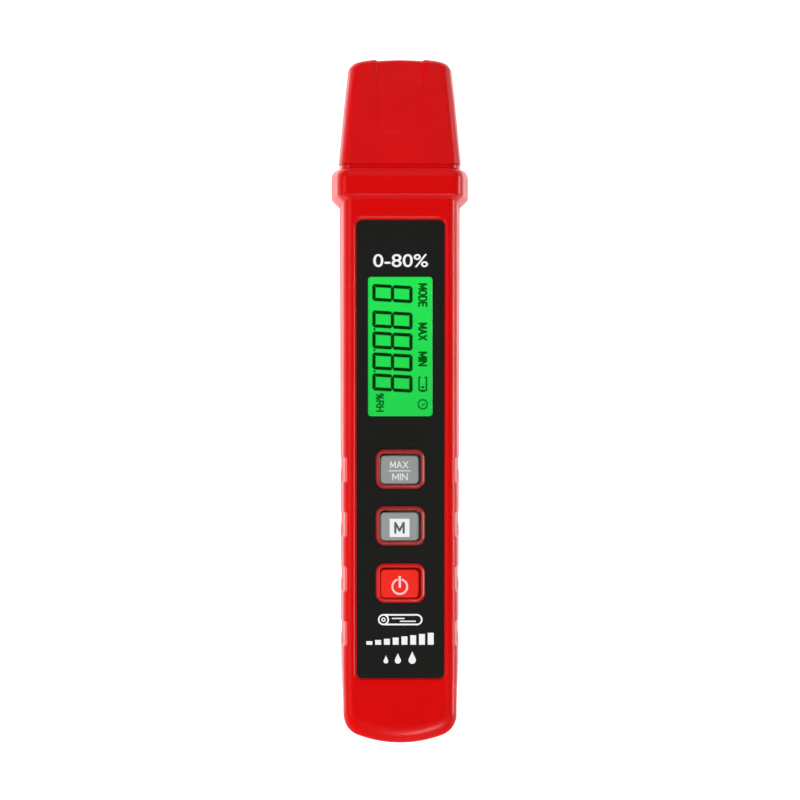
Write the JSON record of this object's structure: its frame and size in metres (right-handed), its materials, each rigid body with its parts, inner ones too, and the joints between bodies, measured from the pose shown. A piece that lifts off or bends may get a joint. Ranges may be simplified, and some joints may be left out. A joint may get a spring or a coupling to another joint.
{
  "type": "moisture meter",
  "caption": "Pocket pin-type moisture meter with a long rounded housing, backlit display, press keys, sliding battery door and a pull-off cap over its probe pins.",
  "frame": {"origin": "on the resting plane, under the middle of the meter's length, lying on its back with the cap on", "axes": "+X across the meter to the right of its face, +Y along it towards the probe pins and cap, +Z out of its face"},
  "size_m": [0.0346, 0.172, 0.025],
  "materials": {
    "front_shell": "satin moulded plastic",
    "rear_shell": "satin moulded plastic",
    "battery_door": "satin moulded plastic",
    "cap": "fine-textured moulded plastic",
    "face_panel": "printed film",
    "window": "clear polished plastic",
    "display": "backlit display cell",
    "white_plastic": "plain",
    "black_plastic": "plain",
    "contact_strip": "layered conductive rubber",
    "board": "solder mask",
    "aluminium": "drawn can",
    "grey_key": "matte",
    "red_key": "matte",
    "cell": "printed sleeve",
    "steel": "nickel plated",
    "brass": "turned",
    "red_wire": "insulation"
  },
  "bodies": {
    "housing": {"front_shell": "front_shell", "rear_shell": "rear_shell", "face_panel": "face_panel", "display_window": "window", "display_glass": "display", "display_backlight": "white_plastic", "display_frame": "black_plastic", "display_contact_strip": "contact_strip", "backlight_lamp": "white_plastic", "main_board": "board", "main_chip": "black_plastic", "supply_capacitor": "aluminium", "max_min_switch_body": "black_plastic", "mode_switch_body": "black_plastic", "power_switch_body": "black_plastic", "battery_left": "cell", "battery_right": "cell", "contact_plate_positive": "steel", "contact_plate_negative": "steel", "contact_bridge": "steel", "contact_spring_upper": "steel", "contact_spring_lower": "steel", "probe_holder": "black_plastic", "probe_pin_left": "steel", "probe_pin_right": "steel", "pin_socket_left": "brass", "pin_socket_right": "brass", "probe_lead_left": "black_plastic", "probe_lead_right": "red_wire", "case_screw_1": "steel", "case_screw_2": "steel", "case_screw_3": "steel", "case_screw_4": "steel", "board_screw_1": "steel", "board_screw_2": "steel", "board_screw_3": "steel", "board_screw_4": "steel"},
    "cap": {"probe_cap": "cap"},
    "door": {"battery_door": "battery_door"},
    "max_min_button": {"max_min_key": "grey_key", "max_min_switch_stem": "white_plastic"},
    "mode_button": {"mode_key": "grey_key", "mode_switch_stem": "white_plastic"},
    "power_button": {"power_key": "red_key", "power_switch_stem": "white_plastic"}
  },
  "joints": [
    {"name": "cap_pull", "type": "slide", "parent": "housing", "child": "cap", "axis": [0, 1, 0], "range_m": [0, 0.03]},
    {"name": "battery_door_slide", "type": "slide", "parent": "housing", "child": "door", "axis": [0, -1, 0], "range_m": [0, 0.05]},
    {"name": "max_min_press", "type": "slide", "parent": "housing", "child": "max_min_button", "axis": [0, 0, -1], "range_m": [0, 0.0003], "stiffness_N_per_m": 40, "springref_m": -0.001},
    {"name": "mode_press", "type": "slide", "parent": "housing", "child": "mode_button", "axis": [0, 0, -1], "range_m": [0, 0.0003], "stiffness_N_per_m": 40, "springref_m": -0.001},
    {"name": "power_press", "type": "slide", "parent": "housing", "child": "power_button", "axis": [0, 0, -1], "range_m": [0, 0.0003], "stiffness_N_per_m": 40, "springref_m": -0.001}
  ]
}
